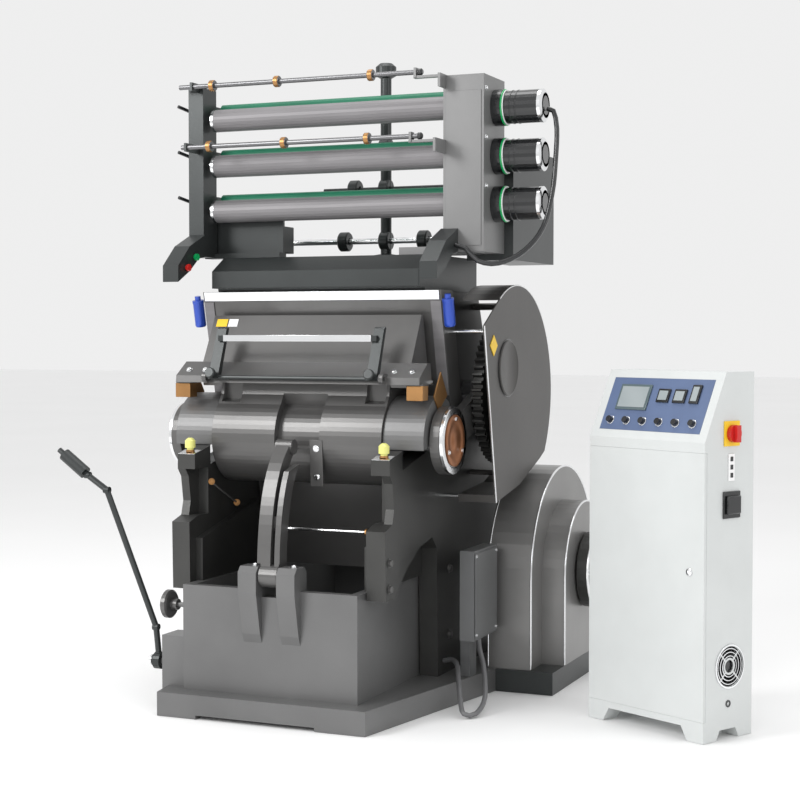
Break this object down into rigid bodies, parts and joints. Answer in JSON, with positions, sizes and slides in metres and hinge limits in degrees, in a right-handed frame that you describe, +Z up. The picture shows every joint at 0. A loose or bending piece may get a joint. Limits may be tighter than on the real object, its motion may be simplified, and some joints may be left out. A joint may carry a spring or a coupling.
{
  "type": "die cutting machine",
  "caption": "Upright platen press that stamps foil and cuts sheet against a heated leaning bed, with a foil feed on its head, a covered flywheel and a separate control cabinet.",
  "frame": {"origin": "underside of the base casting, at floor level, on the press's middle plane", "axes": "+X to the operator's right, +Y away from the operator, +Z up"},
  "size_m": [2.1948, 1.492, 2.135],
  "materials": {
    "grey_paint": "satin grey machine paint",
    "dark_paint": "satin dark grey machine paint",
    "cast_iron": "fine cast grey iron",
    "steel": "ground steel",
    "rubber_green": "smooth green rubber",
    "black_plastic": "glossy black",
    "white_enamel": "smooth off-white enamel",
    "console_blue": "blue-grey panel",
    "red_plastic": "red",
    "green_plastic": "green",
    "grey_hose": "ribbed grey conduit"
  },
  "bodies": {
    "press": {"base_casting": "grey_paint", "side_frame_left": "cast_iron", "side_frame_right": "cast_iron", "bed_casting": "cast_iron", "hot_plate": "steel", "head_beam": "dark_paint", "gear_cover": "dark_paint", "flywheel_cover": "grey_paint", "flywheel_pedestal": "dark_paint", "junction_box": "dark_paint", "foil_column_left": "dark_paint", "foil_gearbox_right": "grey_paint", "foil_post": "dark_paint", "rear_box": "dark_paint", "foil_motor_1": "black_plastic", "foil_motor_2": "black_plastic", "foil_motor_3": "black_plastic", "control_arm_left": "dark_paint", "control_arm_right": "dark_paint", "cabinet_shell": "white_enamel", "console_panel": "console_blue", "base_hose": "grey_hose", "motor_conduit": "black_plastic"},
    "carriage": {"trunnion_shaft": "steel", "slide_block_left": "grey_paint", "slide_block_right": "grey_paint"},
    "platen": {"platen_casting": "grey_paint"},
    "gripper": {"gripper_frame": "dark_paint"},
    "left_arm": {"draw_arm_left": "cast_iron"},
    "right_arm": {"draw_arm_right": "cast_iron"},
    "crank": {"main_shaft": "steel", "crank_gear": "cast_iron"},
    "pinion": {"pinion_shaft": "steel"},
    "link": {"rocker_link": "cast_iron"},
    "lever": {"hand_lever": "dark_paint"},
    "flywheel": {"flywheel": "cast_iron"},
    "handwheel": {"handwheel": "cast_iron"},
    "door": {"cabinet_door": "white_enamel"},
    "switch": {"main_switch": "red_plastic"},
    "fan": {"fan_rotor": "black_plastic"},
    "start": {"start_button": "green_plastic"},
    "stop": {"stop_button": "red_plastic"},
    "feed_roller_1": {"feed_roller_1": "steel"},
    "rubber_roller_1": {"rubber_roller_1": "rubber_green"},
    "pressure_lever_1": {"pressure_lever_1": "black_plastic"},
    "feed_roller_2": {"feed_roller_2": "steel"},
    "rubber_roller_2": {"rubber_roller_2": "rubber_green"},
    "pressure_lever_2": {"pressure_lever_2": "black_plastic"},
    "feed_roller_3": {"feed_roller_3": "steel"},
    "rubber_roller_3": {"rubber_roller_3": "rubber_green"},
    "pressure_lever_3": {"pressure_lever_3": "black_plastic"},
    "foil_shaft_1": {"foil_shaft_1": "steel"},
    "foil_shaft_2": {"foil_shaft_2": "steel"},
    "console_button_1": {"console_button_1": "black_plastic"},
    "console_button_2": {"console_button_2": "black_plastic"},
    "console_button_3": {"console_button_3": "black_plastic"},
    "console_button_4": {"console_button_4": "black_plastic"},
    "console_button_5": {"console_button_5": "black_plastic"},
    "console_button_6": {"console_button_6": "black_plastic"}
  },
  "joints": [
    {"name": "platen_travel", "type": "slide", "parent": "press", "child": "carriage", "axis": [0, -0.9744, -0.225], "range_m": [0, 0.06]},
    {"name": "platen_rock", "type": "hinge", "parent": "carriage", "child": "platen", "pos_m": [0, -0.2, 0.862], "axis": [1, 0, 0], "range_deg": [0, 46]},
    {"name": "left_arm_swing", "type": "hinge", "parent": "carriage", "child": "left_arm", "pos_m": [0, -0.2, 0.862], "axis": [1, 0, 0], "range_deg": [-1.5, 0]},
    {"name": "right_arm_swing", "type": "hinge", "parent": "carriage", "child": "right_arm", "pos_m": [0, -0.2, 0.862], "axis": [1, 0, 0], "range_deg": [-1.5, 0]},
    {"name": "crank_turn", "type": "hinge", "parent": "press", "child": "crank", "pos_m": [0, 0.2, 1], "axis": [1, 0, 0], "range_deg": [0, 181]},
    {"name": "pinion_turn", "type": "hinge", "parent": "press", "child": "pinion", "pos_m": [0, 0.4326, 0.837], "axis": [1, 0, 0], "continuous": true},
    {"name": "link_swing", "type": "hinge", "parent": "press", "child": "link", "pos_m": [0, -0.53, 0.452], "axis": [1, 0, 0], "range_deg": [0, 10]},
    {"name": "gripper_swing", "type": "hinge", "parent": "platen", "child": "gripper", "pos_m": [0, -0.368, 1.058], "axis": [1, 0, 0], "range_deg": [-8, 40]},
    {"name": "lever_throw", "type": "hinge", "parent": "press", "child": "lever", "pos_m": [-0.44, -0.45, 0.141], "axis": [1, 0, 0], "range_deg": [-20, 20]},
    {"name": "flywheel_turn", "type": "hinge", "parent": "press", "child": "flywheel", "pos_m": [0.5, 0.52, 0.374], "axis": [1, 0, 0], "continuous": true},
    {"name": "handwheel_turn", "type": "hinge", "parent": "press", "child": "handwheel", "pos_m": [-0.4, -0.433, 0.324], "axis": [1, 0, 0], "continuous": true},
    {"name": "feed_turn_1", "type": "hinge", "parent": "press", "child": "feed_roller_1", "pos_m": [0, -0.11, 1.915], "axis": [1, 0, 0], "continuous": true},
    {"name": "rubber_turn_1", "type": "hinge", "parent": "press", "child": "rubber_roller_1", "pos_m": [0, -0.055, 1.951], "axis": [1, 0, 0], "continuous": true},
    {"name": "pressure_throw_1", "type": "hinge", "parent": "press", "child": "pressure_lever_1", "pos_m": [-0.497, -0.11, 1.945], "axis": [1, 0, 0], "range_deg": [-30, 30]},
    {"name": "feed_turn_2", "type": "hinge", "parent": "press", "child": "feed_roller_2", "pos_m": [0, -0.11, 1.762], "axis": [1, 0, 0], "continuous": true},
    {"name": "rubber_turn_2", "type": "hinge", "parent": "press", "child": "rubber_roller_2", "pos_m": [0, -0.055, 1.798], "axis": [1, 0, 0], "continuous": true},
    {"name": "pressure_throw_2", "type": "hinge", "parent": "press", "child": "pressure_lever_2", "pos_m": [-0.497, -0.11, 1.792], "axis": [1, 0, 0], "range_deg": [-30, 30]},
    {"name": "feed_turn_3", "type": "hinge", "parent": "press", "child": "feed_roller_3", "pos_m": [0, -0.11, 1.61], "axis": [1, 0, 0], "continuous": true},
    {"name": "rubber_turn_3", "type": "hinge", "parent": "press", "child": "rubber_roller_3", "pos_m": [0, -0.055, 1.646], "axis": [1, 0, 0], "continuous": true},
    {"name": "pressure_throw_3", "type": "hinge", "parent": "press", "child": "pressure_lever_3", "pos_m": [-0.497, -0.11, 1.64], "axis": [1, 0, 0], "range_deg": [-30, 30]},
    {"name": "foil_turn_1", "type": "hinge", "parent": "press", "child": "foil_shaft_1", "pos_m": [0, -0.2, 2.02], "axis": [1, 0, 0], "continuous": true},
    {"name": "foil_turn_2", "type": "hinge", "parent": "press", "child": "foil_shaft_2", "pos_m": [0, -0.24, 1.815], "axis": [1, 0, 0], "continuous": true},
    {"name": "start_press", "type": "slide", "parent": "press", "child": "start", "axis": [-1, 0, 0], "range_m": [0, 0.003], "stiffness_N_per_m": 400},
    {"name": "stop_press", "type": "slide", "parent": "press", "child": "stop", "axis": [-1, 0, 0], "range_m": [0, 0.003], "stiffness_N_per_m": 400},
    {"name": "door_swing", "type": "hinge", "parent": "press", "child": "door", "pos_m": [0.89444, -0.08723, 0.45], "axis": [0, 0, -1], "range_deg": [0, 100]},
    {"name": "switch_turn", "type": "hinge", "parent": "press", "child": "switch", "pos_m": [1.35651, -0.19474, 0.905], "axis": [0.887, -0.4617, 0], "range_deg": [0, 90]},
    {"name": "fan_turn", "type": "hinge", "parent": "press", "child": "fan", "pos_m": [1.33877, -0.1855, 0.215], "axis": [0.887, -0.4617, 0], "continuous": true},
    {"name": "console_press_1", "type": "slide", "parent": "press", "child": "console_button_1", "axis": [0.4189, 0.8048, -0.4205], "range_m": [0, 0.003], "stiffness_N_per_m": 300},
    {"name": "console_press_2", "type": "slide", "parent": "press", "child": "console_button_2", "axis": [0.4189, 0.8048, -0.4205], "range_m": [0, 0.003], "stiffness_N_per_m": 300},
    {"name": "console_press_3", "type": "slide", "parent": "press", "child": "console_button_3", "axis": [0.4189, 0.8048, -0.4205], "range_m": [0, 0.003], "stiffness_N_per_m": 300},
    {"name": "console_press_4", "type": "slide", "parent": "press", "child": "console_button_4", "axis": [0.4189, 0.8048, -0.4205], "range_m": [0, 0.003], "stiffness_N_per_m": 300},
    {"name": "console_press_5", "type": "slide", "parent": "press", "child": "console_button_5", "axis": [0.4189, 0.8048, -0.4205], "range_m": [0, 0.003], "stiffness_N_per_m": 300},
    {"name": "console_press_6", "type": "slide", "parent": "press", "child": "console_button_6", "axis": [0.4189, 0.8048, -0.4205], "range_m": [0, 0.003], "stiffness_N_per_m": 300}
  ],
  "couplings": [
    {"joint": "platen_rock", "follows": "platen_travel", "rad_per_m": 13.09},
    {"joint": "left_arm_swing", "follows": "platen_travel", "rad_per_m": -0.23},
    {"joint": "right_arm_swing", "follows": "platen_travel", "rad_per_m": -0.23},
    {"joint": "crank_turn", "follows": "platen_travel", "rad_per_m": 52.36},
    {"joint": "pinion_turn", "follows": "platen_travel", "rad_per_m": -233.61},
    {"joint": "link_swing", "follows": "platen_travel", "rad_per_m": 2.5},
    {"joint": "rubber_turn_1", "follows": "feed_turn_1", "ratio": -1.5},
    {"joint": "rubber_turn_2", "follows": "feed_turn_2", "ratio": -1.5},
    {"joint": "rubber_turn_3", "follows": "feed_turn_3", "ratio": -1.5}
  ]
}
